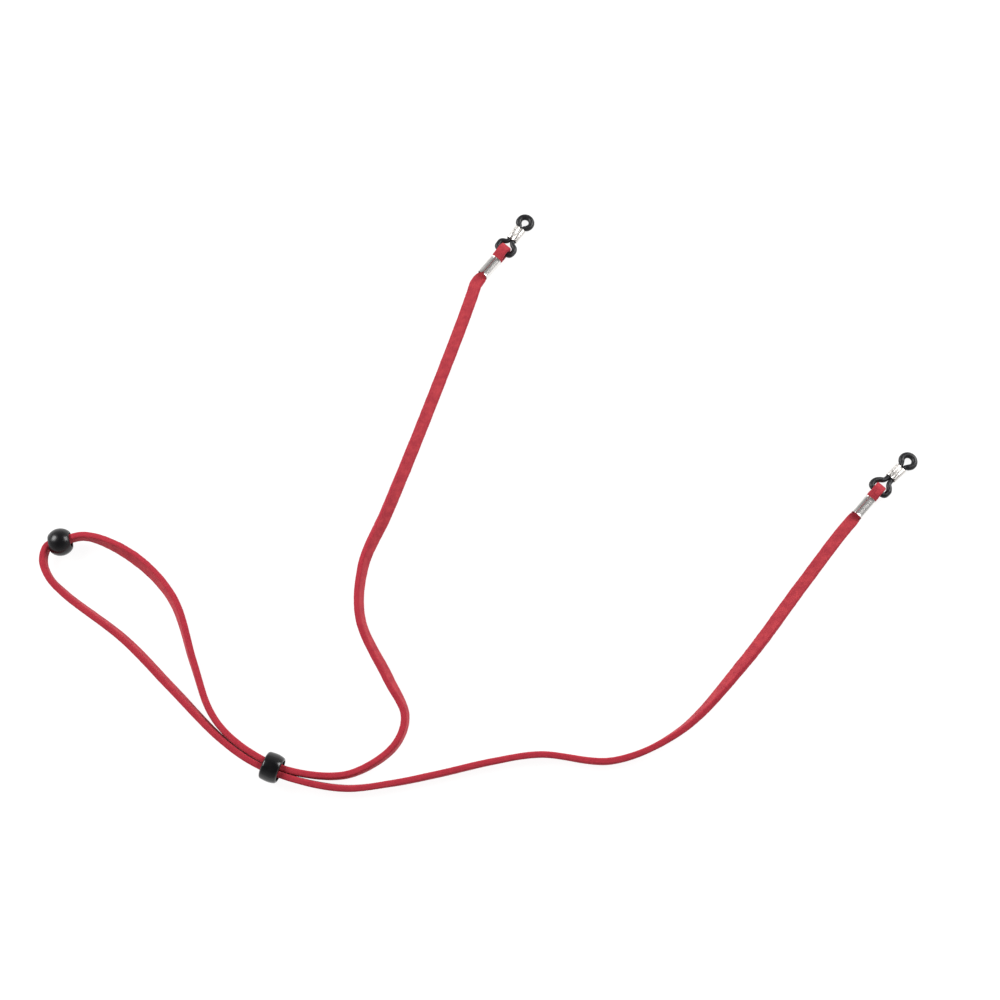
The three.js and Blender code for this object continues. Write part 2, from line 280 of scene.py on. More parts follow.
def piece_from(name, vertices, faces, sharp=50):
    """A piece of the object from millimetres, with its faces pointing out and its edges kept crisp."""
    mesh = bpy.data.meshes.new(name)
    mesh.from_pydata([tuple(np.array(v) * MM) for v in vertices], [], faces)
    shell = bmesh.new()
    shell.from_mesh(mesh)
    bmesh.ops.recalc_face_normals(shell, faces=shell.faces)
    shell.to_mesh(mesh)
    shell.free()
    mesh.shade_smooth()
    mesh.set_sharp_from_angle(angle=math.radians(sharp))
    piece = bpy.data.objects.new(name, mesh)
    bpy.context.scene.collection.objects.link(piece)
    return piece


def settle(piece, body, nodes):
    """Puts the piece on its body, in the place of its frame nodes."""
    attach(piece, body)
    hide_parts(*nodes)
    print(piece.name, "has", len(piece.data.polygons), "faces and rides on", body)
    return piece


# %% The free lace
CRIMP_MIDDLE = -7.0
LOWER_LAYER = 1.08
# How far out from the strand, height of the middle, width and thickness, as the lace leaves its crimp.
LEAVING = [
    (CRIMP_MIDDLE, LOWER_LAYER, 2.9, 1.4),
    (-10.2, LOWER_LAYER, 2.95, 1.4),
    (-10.7, 1.06, 3.4, 1.55),
    (-11.4, 1.03, 3.8, 1.8),
    (-12.6, 1.0, 4.0, 1.97),
]


def leaving_stations(end, turn):
    """The stations from the middle of the crimp to where the lace lies flat and full."""
    across = -turn * (end_point(end, 0, 1) - end_point(end, 0))
    keys = np.array(LEAVING)
    stations = []
    for place in np.arange(0, len(LEAVING) - 1 + 0.001, 0.25):
        out, height, width, thickness = curve_point(keys, place, False)
        stations.append((end_point(end, out, 0, height), across, width, thickness))
    return stations


def free_stations():
    """The stations of the whole free lace, from the right crimp to the left one."""
    rows = [(*end_point(ENDS["right"], -14)[:2], 0, 0)]
    rows += ROUTE
    rows += [(*end_point(ENDS["left"], -14)[:2], 0, 0)]
    table = np.array(rows, float)
    stations = leaving_stations(ENDS["right"], 1)
    for i in range(len(table) - 1):
        steps = math.ceil(np.linalg.norm(table[i + 1, :2] - table[i, :2]) / RING_STEP)
        for k in range(steps):
            place = i + k / steps
            x, y = curve_point(table[:, :2], place)
            ahead = curve_point(table[:, :2], min(place + 0.01, len(table) - 1)) - (x, y)
            roll, lift = curve_point(table[:, 2:], place, False)
            roll = math.radians(roll)
            side = unit(np.array([-ahead[1], ahead[0], 0]))
            across = side * math.cos(roll) + np.array([0, 0, math.sin(roll)])
            middle = np.array([x, y, resting_height(roll) + max(lift, 0)])
            stations.append((middle, across, LACE_WIDTH, LACE_THICKNESS))
    return stations + leaving_stations(ENDS["left"], -1)[::-1]


def dress_lace(piece, middles):
    """A UV map in millimetres along and round the lace, and an attribute that marks its cut sides."""
    count = len(SECTION)
    along = np.concatenate([[0], np.cumsum(np.linalg.norm(np.diff(middles, axis=0), axis=1))])
    steps = np.linalg.norm(np.diff(np.vstack([SECTION, SECTION[:1]]), axis=0), axis=1)
    around = np.concatenate([[0], np.cumsum(steps)])
    layer = piece.data.uv_layers.new(name="lace_uv")
    for face in piece.data.polygons:
        marks = [divmod(piece.data.loops[loop].vertex_index, count) for loop in face.loop_indices]
        wraps = {k for _, k in marks} == {0, count - 1}
        for loop, (ring, k) in zip(face.loop_indices, marks):
            layer.data[loop].uv = (along[ring], around[count] if wraps and k == 0 else around[k])
    cut = piece.data.attributes.new("cut_side", "FLOAT", "POINT")
    marks = [smooth_step(abs(u) / (LACE_WIDTH / 2), CUT_STARTS, CUT_FULL) for u, _ in SECTION]
    cut.data.foreach_set("value", marks * len(middles))


lace_stations = free_stations()
lace_middles, lace_loft_rings = lace_rings(lace_stations)
free_lace = piece_from("free_lace", *loft(lace_loft_rings), sharp=80)
dress_lace(free_lace, lace_middles)
settle(free_lace, "lace", ["lace"])

# %% [markdown]
# ## Table and light
# The set is a light table under a dark ceiling, with a soft box on each side. The table glows, so
# that almost no shadow is left on it, as on a catalogue picture. Black plastic and plated
# metal have next to no colour of their own, so what they mirror is what they look like: two soft
# highlights on black, and bright and dark bands on the metal. An even white room would leave them
# grey. The world is therefore a plain dome, pale near the table and dark overhead.

# %% The table
bpy.context.scene.view_settings.view_transform = "Standard"
TABLE_SIZE = 6.0

table_mesh = bpy.data.meshes.new("table")
half_table = TABLE_SIZE / 2
table_corners = [(-half_table, -half_table, 0), (half_table, -half_table, 0)]
table_corners += [(half_table, half_table, 0), (-half_table, half_table, 0)]
table_mesh.from_pydata(table_corners, [], [(0, 1, 2, 3)])
table = bpy.data.objects.new("table", table_mesh)
bpy.context.scene.collection.objects.link(table)

table_finish = bpy.data.materials.new("white_table")
table_finish.use_nodes = True
table_shader = table_finish.node_tree.nodes["Principled BSDF"]
table_shader.inputs["Base Color"].default_value = (0.16, 0.16, 0.16, 1)
table_shader.inputs["Emission Color"].default_value = (1, 1, 1, 1)
table_shader.inputs["Emission Strength"].default_value = 0.93
table_shader.inputs["Roughness"].default_value = 0.7
table_shader.inputs["Specular IOR Level"].default_value = 0.0
table_mesh.materials.append(table_finish)
print("table", TABLE_SIZE, "m wide")

# %% The dome and the two soft boxes
LIGHT_DISTANCE = 0.9
# Each soft box: the way to it from the strap, its width in metres, and its power in watts.
SOFT_BOXES = {
    "left_soft_box": (Vector((-0.72, 0.28, 0.63)), 0.45, 7.0),
    "right_soft_box": (Vector((0.74, 0.39, 0.55)), 0.45, 6.2),
}

world = bpy.data.worlds.new("dome")
world.use_nodes = True
bpy.context.scene.world = world
dome = world.node_tree.nodes
sky_place = dome.new("ShaderNodeTexCoord")
sky_parts = dome.new("ShaderNodeSeparateXYZ")
sky_ramp = dome.new("ShaderNodeValToRGB")
sky_ramp.color_ramp.elements[0].position = 0.10
sky_ramp.color_ramp.elements[0].color = (0.60, 0.60, 0.60, 1)
sky_ramp.color_ramp.elements[1].position = 0.85
sky_ramp.color_ramp.elements[1].color = (0.09, 0.09, 0.09, 1)
world.node_tree.links.new(sky_place.outputs["Generated"], sky_parts.inputs[0])
world.node_tree.links.new(sky_parts.outputs["Z"], sky_ramp.inputs["Fac"])
world.node_tree.links.new(sky_ramp.outputs["Color"], dome["Background"].inputs["Color"])

for light_name, (way, width, power) in SOFT_BOXES.items():
    lamp = bpy.data.lights.new(light_name, "AREA")
    lamp.shape = "SQUARE"
    lamp.size = width
    lamp.energy = power
    soft_box = bpy.data.objects.new(light_name, lamp)
    soft_box.location = way.normalized() * LIGHT_DISTANCE
    soft_box.rotation_euler = way.to_track_quat("Z", "Y").to_euler()
    bpy.context.scene.collection.objects.link(soft_box)
print("soft boxes:", ", ".join(SOFT_BOXES))

# %% [markdown]
# ## Shader groups
# Three effects are each used by more than one finish, so each is a node group that is built once: the
# nap of suede, the fine scratches and smudges of handled metal, and the faint grain of a moulded
# skin. A group gives out a colour, a roughness and a height that change over the surface. Whatever
# is the same all over, such as sheen, is set on the Principled shader of each finish instead.

# %% Helpers for node groups
def new_group(name, inputs, outputs):
    """An empty shader group with named sockets, each (name, kind, value) or (name, kind)."""
    tree = bpy.data.node_groups.new(name, "ShaderNodeTree")
    for label, kind, value in inputs:
        tree.interface.new_socket(label, in_out="INPUT", socket_type=kind).default_value = value
    for label, kind in outputs:
        tree.interface.new_socket(label, in_out="OUTPUT", socket_type=kind)
    return tree, tree.nodes.new("NodeGroupInput"), tree.nodes.new("NodeGroupOutput")


def noise_of(tree, vector, scale, detail=3.0, roughness=0.6):
    """A noise texture's value on a vector; scale is a number or a socket."""
    texture = tree.nodes.new("ShaderNodeTexNoise")
    texture.inputs["Detail"].default_value = detail
    texture.inputs["Roughness"].default_value = roughness
    tree.links.new(vector, texture.inputs["Vector"])
    put(tree, scale, texture.inputs["Scale"])
    return texture.outputs["Fac"]


def put(tree, value, socket):
    """Links a socket to another, or sets it to a value."""
    if isinstance(value, bpy.types.NodeSocket):
        tree.links.new(value, socket)
    else:
        socket.default_value = value


def sum_of(tree, operation, first, second):
    """A math node's result."""
    node = tree.nodes.new("ShaderNodeMath")
    node.operation = operation
    put(tree, first, node.inputs[0])
    put(tree, second, node.inputs[1])
    return node.outputs[0]


def spread_out(tree, value, low, high, out_low=0.0, out_high=1.0):
    """A value's range low to high stretched over out_low to out_high, and held there."""
    node = tree.nodes.new("ShaderNodeMapRange")
    for socket, number in zip(("From Min", "From Max", "To Min", "To Max"), (low, high, out_low, out_high)):
        put(tree, number, node.inputs[socket])
    tree.links.new(value, node.inputs["Value"])
    return node.outputs["Result"]


def mixed(tree, share, first, second):
    """A mix of two colours."""
    node = tree.nodes.new("ShaderNodeMix")
    node.data_type = "RGBA"
    put(tree, share, node.inputs[0])
    put(tree, first, node.inputs[6])
    put(tree, second, node.inputs[7])
    return node.outputs[2]


def object_place(tree):
    return tree.nodes.new("ShaderNodeTexCoord").outputs["Object"]


def stretched(tree, vector, scale):
    """A vector scaled apart along its axes, so that what it drives becomes streaks."""
    node = tree.nodes.new("ShaderNodeMapping")
    node.inputs["Scale"].default_value = scale
    tree.links.new(vector, node.inputs["Vector"])
    return node.outputs["Vector"]


# %% The nap of suede
def suede_nap():
    """Brushed patches, fine streaks along the lace, single fibres, and darker cut sides: rawer suede and
    painted shade.
    """
    tree, given, result = new_group(
        "suede_nap",
        [("Lit pile", "NodeSocketColor", (0.5, 0.06, 0.07, 1)),
         ("Shaded pile", "NodeSocketColor", (0.3, 0.03, 0.05, 1)),
         ("Raw and shaded cut side", "NodeSocketColor", (0.4, 0.03, 0.04, 1)),
         ("Patch scale", "NodeSocketFloat", 420.0),
         ("Fibre scale", "NodeSocketFloat", 6500.0)],
        [("Color", "NodeSocketColor"), ("Height", "NodeSocketFloat")])
    place = object_place(tree)
    flow = tree.nodes.new("ShaderNodeUVMap")
    flow.uv_map = "lace_uv"
    patches = noise_of(tree, place, given.outputs["Patch scale"], 2.0)
    streaks = noise_of(tree, stretched(tree, flow.outputs["UV"], (0.35, 2.2, 1)), 1.6, 4.0)
    fibres = noise_of(tree, place, given.outputs["Fibre scale"], 2.0, 0.7)
    brushed = sum_of(tree, "ADD", spread_out(tree, patches, 0.34, 0.66, 0.0, 0.55),
                     spread_out(tree, streaks, 0.30, 0.70, 0.0, 0.30))
    brushed = sum_of(tree, "ADD", brushed, spread_out(tree, fibres, 0.30, 0.70, -0.12, 0.18))
    pile = mixed(tree, brushed, given.outputs["Shaded pile"], given.outputs["Lit pile"])
    # Painted shade: the cut sides turn darker, partly the rawer colour of cut suede, partly shade on the
    # sides.
    cut = tree.nodes.new("ShaderNodeAttribute")
    cut.attribute_name = "cut_side"
    raw_and_shaded_cut = sum_of(tree, "MULTIPLY", cut.outputs["Fac"], 0.65)
    tree.links.new(mixed(tree, raw_and_shaded_cut, pile, given.outputs["Raw and shaded cut side"]), result.inputs["Color"])
    height = sum_of(tree, "ADD", fibres, sum_of(tree, "MULTIPLY", streaks, 0.5))
    tree.links.new(height, result.inputs["Height"])
    return tree


SUEDE_NAP = suede_nap()

# %% The wear of handled metal
def handled_metal():
    """Soft smudges, hairline scratches, and duller metal in the smudges."""
    tree, given, result = new_group(
        "handled_metal",
        [("Bright metal", "NodeSocketColor", (0.8, 0.79, 0.77, 1)),
         ("Dull metal", "NodeSocketColor", (0.6, 0.58, 0.55, 1)),
         ("Polished", "NodeSocketFloat", 0.12),
         ("Dulled", "NodeSocketFloat", 0.32),
         ("Smudge scale", "NodeSocketFloat", 600.0),
         ("Scratch scale", "NodeSocketFloat", 900.0)],
        [("Color", "NodeSocketColor"), ("Roughness", "NodeSocketFloat"), ("Height", "NodeSocketFloat")])
    place = object_place(tree)
    smudges = spread_out(tree, noise_of(tree, place, given.outputs["Smudge scale"], 3.0), 0.38, 0.68)
    brushed_place = stretched(tree, place, (0.12, 1.6, 1.6))
    hairlines = noise_of(tree, brushed_place, given.outputs["Scratch scale"], 5.0, 0.8)
    scratched = spread_out(tree, hairlines, 0.56, 0.70)
    dulled = sum_of(tree, "MAXIMUM", sum_of(tree, "MULTIPLY", smudges, 0.7), scratched)
    colour = mixed(tree, dulled, given.outputs["Bright metal"], given.outputs["Dull metal"])
    rough = spread_out(tree, dulled, 0.0, 1.0, given.outputs["Polished"], given.outputs["Dulled"])
    tree.links.new(colour, result.inputs["Color"])
    tree.links.new(rough, result.inputs["Roughness"])
    tree.links.new(scratched, result.inputs["Height"])
    return tree


HANDLED_METAL = handled_metal()

# %% The skin of a moulded part
def moulded_skin():
    """A faint orange peel, with a little dust that lies on what faces up."""
    tree, given, result = new_group(
        "moulded_skin",
        [("Body", "NodeSocketColor", (0.02, 0.02, 0.02, 1)),
         ("Dust", "NodeSocketColor", (0.2, 0.2, 0.2, 1)),
         ("Dust cover", "NodeSocketFloat", 0.1),
         ("Smooth", "NodeSocketFloat", 0.2),
         ("Dull", "NodeSocketFloat", 0.35),
         ("Grain scale", "NodeSocketFloat", 2500.0)],
        [("Color", "NodeSocketColor"), ("Roughness", "NodeSocketFloat"), ("Height", "NodeSocketFloat")])
    place = object_place(tree)
    grain = noise_of(tree, place, given.outputs["Grain scale"], 2.0)
    cloudy = spread_out(tree, noise_of(tree, place, 520.0, 3.0), 0.35, 0.70)
    specks = spread_out(tree, noise_of(tree, place, 7000.0, 1.0), 0.68, 0.74)
    up = tree.nodes.new("ShaderNodeSeparateXYZ")
    tree.links.new(tree.nodes.new("ShaderNodeNewGeometry").outputs["Normal"], up.inputs[0])
    lying = spread_out(tree, up.outputs["Z"], 0.2, 0.9)
    dust = sum_of(tree, "ADD", specks, sum_of(tree, "MULTIPLY", cloudy, 0.25))
    dust = sum_of(tree, "MULTIPLY", dust, lying)
    dust = sum_of(tree, "MULTIPLY", dust, given.outputs["Dust cover"])
    tree.links.new(mixed(tree, dust, given.outputs["Body"], given.outputs["Dust"]), result.inputs["Color"])
    rough = spread_out(tree, cloudy, 0.0, 1.0, given.outputs["Smooth"], given.outputs["Dull"])
    tree.links.new(rough, result.inputs["Roughness"])
    tree.links.new(grain, result.inputs["Height"])
    return tree


MOULDED_SKIN = moulded_skin()
print("shader groups:", ", ".join(group.name for group in (SUEDE_NAP, HANDLED_METAL, MOULDED_SKIN)))

# %% [markdown]
# ## Finishes
# Each finish is one Principled shader fed by a group with its own values. Suede is matte and has a
# sheen, because its pile lights up where it is seen edge on. The rubber and the bead are satin, the
# slider is glossy, and the plated parts are metal.

# %% Finishes
def finish(name, group, settings, fixed, bump_depth):
    """A material: the group's outputs feed the shader, and fixed values sit on its own sockets."""
    material = bpy.data.materials.new(name)
    material.use_nodes = True
    tree = material.node_tree
    shader = tree.nodes["Principled BSDF"]
    look = tree.nodes.new("ShaderNodeGroup")
    look.node_tree = group
    for label, value in settings.items():
        look.inputs[label].default_value = value
    for label, value in fixed.items():
        shader.inputs[label].default_value = value
    tree.links.new(look.outputs["Color"], shader.inputs["Base Color"])
    if "Roughness" in look.outputs:
        tree.links.new(look.outputs["Roughness"], shader.inputs["Roughness"])
    bump = tree.nodes.new("ShaderNodeBump")
    bump.inputs["Distance"].default_value = bump_depth
    tree.links.new(look.outputs["Height"], bump.inputs["Height"])
    tree.links.new(bump.outputs["Normal"], shader.inputs["Normal"])
    return material


RED_SUEDE = finish(
    "red_suede", SUEDE_NAP,
    {"Lit pile": (0.56, 0.058, 0.070, 1), "Shaded pile": (0.36, 0.028, 0.045, 1),
     # The cut side's darker colour is partly raw suede and partly painted shade.
     "Raw and shaded cut side": (0.42, 0.020, 0.040, 1)},
    {"Roughness": 0.92, "Specular IOR Level": 0.25, "Sheen Weight": 0.16, "Sheen Roughness": 0.45,
     "Sheen Tint": (1.0, 0.55, 0.62, 1)},
    0.00008)
NICKEL_CRIMP = finish(
    "nickel_crimp", HANDLED_METAL,
    {"Bright metal": (0.88, 0.86, 0.84, 1), "Dull metal": (0.83, 0.81, 0.78, 1),
     "Polished": 0.31, "Dulled": 0.36},
    {"Metallic": 1.0}, 0.0000003)
NICKEL_SLEEVE = finish(
    "nickel_sleeve", HANDLED_METAL,
    {"Bright metal": (0.80, 0.77, 0.74, 1), "Dull metal": (0.74, 0.71, 0.68, 1), "Polished": 0.36,
     "Dulled": 0.41, "Scratch scale": 1500.0},
    {"Metallic": 1.0}, 0.0000003)
BLACK_RUBBER = finish(
    "black_rubber", MOULDED_SKIN,
    {"Body": (0.008, 0.008, 0.010, 1), "Dust": (0.13, 0.12, 0.12, 1), "Dust cover": 0.14,
     "Smooth": 0.36, "Dull": 0.50, "Grain scale": 5200.0},
    {"Specular IOR Level": 0.45}, 0.00002)
SATIN_PLASTIC = finish(
    "satin_black_plastic", MOULDED_SKIN,
    {"Body": (0.003, 0.003, 0.004, 1), "Dust": (0.11, 0.10, 0.11, 1), "Dust cover": 0.06,
     "Smooth": 0.25, "Dull": 0.31, "Grain scale": 3800.0},
    {"Specular IOR Level": 0.42}, 0.000004)
GLOSS_PLASTIC = finish(
    "glossy_black_plastic", MOULDED_SKIN,
    {"Body": (0.004, 0.004, 0.005, 1), "Dust": (0.11, 0.10, 0.10, 1), "Dust cover": 0.10,
     "Smooth": 0.16, "Dull": 0.24, "Grain scale": 1300.0},
    {"Specular IOR Level": 0.5}, 0.000010)
free_lace.data.materials.append(RED_SUEDE)
print(len(bpy.data.materials), "finishes, with the table's")

# %% [markdown]
# ## The folded ends
# At each end the lace goes through its crimp, round the rubber strand and back into the crimp, where
# its tail ends. The crimp squeezes both layers hard, and between the crimp and the strand the suede
# swells out again. The crimp holds a fold still, so a fold isn't part of the free lace: it is a piece
# of its own that meets the free lace inside the crimp, where nobody sees the joint. It is swept with
# the same section, from listed stations and an arc round the strand.

# %% The folded ends
PIVOT_HEIGHT = 2.35
FOLD_RADIUS = 1.7
FOLD_THICKNESS = 1.3
UPPER_LAYER = 2.58
JOINT_GAP = 0.1
FOLD_ARC_STEPS = 10
FOLD_SUBSTEPS = 4
# How wide the fold is at each distance out from the strand's axis. Near the strand it stays
# narrower than the space between the ring's two sides, so that the ring can swing over it.
FOLD_OUT = [-3.5, -3.0, -2.4, -1.7, -1.2, -0.2, 0.8, 1.3, 1.7]
FOLD_WIDTHS = [2.95, 3.4, 3.6, 3.35, 3.3, 3.35, 3.4, 3.4, 3.4]


def fold_keys():
    """Rows of (out, height, width, thickness), from the tail, round the strand and back."""
    upper = [(-10.3, UPPER_LAYER, 1.4), (-7.0, UPPER_LAYER, 1.4), (-3.5, 2.6, 1.4)]
    upper += [(-2.9, 2.78, 1.4), (-2.1, 3.2, 1.38), (-1.1, 3.8, FOLD_THICKNESS)]
    arc = []
    for i in range(FOLD_ARC_STEPS + 1):
        angle = math.pi * (0.5 - i / FOLD_ARC_STEPS)
        out, height = FOLD_RADIUS * math.cos(angle), PIVOT_HEIGHT + FOLD_RADIUS * math.sin(angle)
        arc.append((out, height, FOLD_THICKNESS))
    lower = [(-1.1, 0.72, FOLD_THICKNESS), (-2.1, 0.86, 1.38), (-2.9, 1.0, 1.4)]
    lower += [(-3.5, 1.06, 1.4), (CRIMP_MIDDLE + JOINT_GAP, LOWER_LAYER, 1.4)]
    return [(out, height, float(np.interp(out, FOLD_OUT, FOLD_WIDTHS)), thickness)
            for out, height, thickness in upper + arc + lower]


def folded_end(side, end, turn):
    """The end of the lace that is folded over the rubber strand."""
    keys = np.array(fold_keys())
    across = -turn * (end_point(end, 0, 1) - end_point(end, 0))
    stations = []
    for k in range((len(keys) - 1) * FOLD_SUBSTEPS + 1):
        out, height, width, thickness = curve_point(keys, k / FOLD_SUBSTEPS, False)
        stations.append((end_point(end, out, 0, height), across, width, thickness))
    middles, rings = lace_rings(stations)
    fold = piece_from(f"{side}_lace_fold", *loft(rings), sharp=80)
    dress_lace(fold, middles)
    fold.data.materials.append(RED_SUEDE)
    return settle(fold, "lace", ["lace"])


folded_end("right", ENDS["right"], 1)
folded_end("left", ENDS["left"], -1)

# %% [markdown]
# ## The crimps
# A crimp is a short strip of plated metal, bent into a box and closed over the doubled lace until its
# two flaps meet. A box with a bevel has the right size, but it mirrors the room like a block. The
# real flaps are arched by the tool that closed them, and their ends are belled so that they don't cut
# the suede. So the strip's bent outline is worked out ring by ring, with its belled ends and the
# notch where the flaps part.

# %% The crimps
CRIMP_OUTER_END = -3.4
CRIMP_LENGTH = 7.2
CRIMP_SIZE = 3.66
CRIMP_WALL = 0.3
CRIMP_FOOT_ROUND = 0.75
CRIMP_FLAP_ROUND = 0.85
ROOF_RADIUS = 2.9
SEAM_DIP = 0.07
BELL = 0.025
BELL_REACH = 0.55
NOTCH_REACH = 0.9
SEAM_GAP = 0.08
FLAP_STEPS = 12
BEND_STEPS = 6
# Distances in from each end face where the strip has a ring, and how much thinner its end edge is.
END_RINGS = [0, 0.04, 0.12, 0.25, 0.45, 0.7, 1.0, 1.6]
END_THINNING = 0.1


def flap_points(side, seam_edge):
    """One flap's outer points, from its seam edge to its side wall; side is 1 on the left, +across."""
    half, bend, roof = CRIMP_SIZE / 2, CRIMP_FLAP_ROUND, ROOF_RADIUS
    # The bend joins the roof's arc where both lean the same way.
    lean = math.asin((half - bend) / (roof - bend))
    bend_height = CRIMP_SIZE - roof + (roof - bend) * math.cos(lean)
    points = []
    start = math.asin(seam_edge * side / roof)
    for i in range(FLAP_STEPS):
        angle = start + (lean - start) * i / FLAP_STEPS
        dip = SEAM_DIP * (1 - i / FLAP_STEPS) ** 3
        points.append((side * roof * math.sin(angle), CRIMP_SIZE - roof * (1 - math.cos(angle)) - dip))
    for i in range(BEND_STEPS + 1):
        angle = lean + (math.pi / 2 - lean) * i / BEND_STEPS
        points.append((side * (half - bend + bend * math.sin(angle)), bend_height + bend * math.cos(angle)))
    return points


def foot_points(side):
    """The side wall's lower corner, from the wall to the flat underside."""
    half, bend = CRIMP_SIZE / 2, CRIMP_FOOT_ROUND
    points = []
    for i in range(BEND_STEPS + 1):
        angle = math.pi / 2 * i / BEND_STEPS
        points.append((side * (half - bend + bend * math.cos(angle)), bend - bend * math.sin(angle)))
    return points


def strip_outline(seam, gap, wall):
    """The closed outline of the bent strip: outside from flap to flap, and back inside."""
    outer = flap_points(1, seam + gap) + foot_points(1)
    outer += (flap_points(-1, seam - gap) + foot_points(-1))[::-1]
    outer = np.array(outer)
    ahead = np.vstack([outer[1:], outer[-1:]]) - np.vstack([outer[:1], outer[:-1]])
    ahead /= np.linalg.norm(ahead, axis=1)[:, None]
    # The outline turns clockwise, so inside is on the right of the way ahead.
    inward = np.stack([ahead[:, 1], -ahead[:, 0]], axis=1)
    skin = (CRIMP_WALL - wall) / 2
    return np.vstack([outer + inward * skin, (outer + inward * (CRIMP_WALL - skin))[::-1]])


def crimp_strip(side, end, notch):
    """The bent strip, with belled ends, a soft edge at each end face and a notch in its seam."""
    rings = []
    middle = [CRIMP_LENGTH * i / 6 for i in range(2, 5)]
    for length in END_RINGS + middle + [CRIMP_LENGTH - x for x in END_RINGS[::-1]]:
        from_end = min(length, CRIMP_LENGTH - length)
        bell = 1 + BELL * (1 - smooth_step(from_end, 0, BELL_REACH))
        parting = notch * (1 - smooth_step(length, 0, NOTCH_REACH))
        wall = CRIMP_WALL - (END_THINNING if from_end == 0 else 0)
        ring = []
        for x, z in strip_outline(end["seam"], SEAM_GAP + parting, wall):
            out = CRIMP_OUTER_END - CRIMP_LENGTH + length
            ring.append(end_point(end, out, x * bell, z * bell))
        rings.append(ring)
    crimp = piece_from(f"{side}_crimp_strip", *loft(rings), sharp=35)
    crimp.data.materials.append(NICKEL_CRIMP)
    return settle(crimp, "lace", [f"{side}_lace_crimp"])


crimp_strip("right", ENDS["right"], 0.06)
crimp_strip("left", ENDS["left"], 0.4)

# %% [markdown]
# ## The rubber rings
# Each ring is one closed strand of soft rubber. The metal sleeve pinches it into a small eyelet, which
# grips the temple, and a wider loop, which the lace is folded over. A torus can't be pinched, so a
# tube is swept along a closed curve and its radius changes: thin in the sleeve and full in the
# eyelet. A moulded ring keeps a fine flash line round its outside, where the two halves of its mould
# met, so one point of each ring of the tube stands a little proud.

# %% The rubber rings
STRAND_RADIUS = 0.9
EYELET_RADIUS = 2.1
EYELET_STRAND = 0.97
WIDE_HALF = 2.8
WIDE_CORNER = 1.0
NECK_HALF = 0.825
NECK_STRAND = 0.78
LOOP_TILT = math.radians(4.5)
RUBBER_SUBSTEPS = 8
RUBBER_SIDES = 30
FLASH = 0.03


def rubber_half_line(end):
    """Half of the ring's middle line, from the strand in the fold out to the eyelet's tip."""
    points = [(0, 0.9)]
    for degrees in (180, 150, 120, 90):
        angle = math.radians(degrees)
        points.append((WIDE_CORNER * (1 + math.cos(angle)), WIDE_HALF + WIDE_CORNER * (math.sin(angle) - 1)))
    points += end["shoulder"]
    neck = end["neck_end"] - end["neck_start"]
    points += [(end["neck_start"] + neck * i / 3, NECK_HALF) for i in range(4)]
    for degrees in (135, 105, 75, 45, 15):
        angle = math.radians(degrees)
        points.append((end["eyelet"] + EYELET_RADIUS * math.cos(angle), EYELET_RADIUS * math.sin(angle)))
    return points


def closed_curve(points, substeps):
    """Points on the closed centripetal curve through points."""
    looped = np.array(points[-2:] + points + points[:3], float)
    places = [2 + i / substeps for i in range(len(points) * substeps)]
    return np.array([curve_point(looped, place) for place in places])


def strand_radius(out, end):
    pinched = smooth_step(out, end["neck_start"] - 1.6, end["neck_start"])
    freed = smooth_step(out, end["neck_end"], end["neck_end"] + 0.9)
    radius = STRAND_RADIUS + (NECK_STRAND - STRAND_RADIUS) * pinched
    return radius + (EYELET_STRAND - radius) * freed


def loop_place(end, out, across, height):
    """A place in the ring's own plane, which turns aside past the fold and tilts down to the table."""
    yaw = end["yaw"] * smooth_step(out, 1.0, 3.4)
    along = out * math.cos(yaw) - across * math.sin(yaw)
    across = out * math.sin(yaw) + across * math.cos(yaw)
    c, s = math.cos(LOOP_TILT), math.sin(LOOP_TILT)
    return end_point(end, along * c + height * s, across, PIVOT_HEIGHT - along * s + height * c)


def rubber_ring(side, end):
    half = rubber_half_line(end)
    line = closed_curve(half + [(x, -y) for x, y in reversed(half)], RUBBER_SUBSTEPS)
    ahead = np.roll(line, -1, axis=0) - np.roll(line, 1, axis=0)
    ahead /= np.linalg.norm(ahead, axis=1)[:, None]
    rings = []
    for (out, across), (run, rise) in zip(line, ahead):
        ring = []
        for k in range(RUBBER_SIDES):
            angle = 2 * math.pi * k / RUBBER_SIDES
            radius = strand_radius(out, end) + (FLASH if k == 0 else 0)
            # The line turns clockwise, so its outside is on the left of the way ahead.
            outside, up = radius * math.cos(angle), radius * math.sin(angle)
            ring.append(loop_place(end, out - rise * outside, across + run * outside, up))
        rings.append(ring)
    ring_piece = piece_from(f"{side}_rubber_ring", *loft(rings, closed=True), sharp=60)
    ring_piece.data.materials.append(BLACK_RUBBER)
    return settle(ring_piece, f"{side}_end_loop", [f"{side}_rubber_loop"])


for side, end in ENDS.items():
    rubber_ring(side, end)

# %% [markdown]
# ## The ribbed sleeves
# The sleeve that pinches the ring is thin metal, curled round both strands so that it has two lobes
# with a groove between them, and its outside is ribbed so that fingers can slide it. The shell is a
# plain loft. The ribs follow a rule: one rib is a thin tube round the two-lobed outline, and it repeats
# at an even pitch. That is a job for Geometry Nodes, with the number and the pitch as named inputs. A
# smooth collar is left at each end.

# %% The sleeve's shell
SLEEVE_LENGTH = 5.1
SLEEVE_CLEARANCE = 0.1
SHELL_WALL = 0.21
LOBE_STEPS = 26
END_ROUND = 0.05


def two_lobes(radius):
    """The outline of two round strands side by side, as (across, up), each lobe an arc."""
    meet = math.acos(NECK_HALF / radius)
    points = []
    for side, start in ((1, meet - math.pi), (-1, meet)):
        sweep = 2 * (math.pi - meet)
        for i in range(LOBE_STEPS):
            angle = start + sweep * (i + 0.5) / LOBE_STEPS
            points.append((side * NECK_HALF + radius * math.cos(angle), radius * math.sin(angle)))
    return points


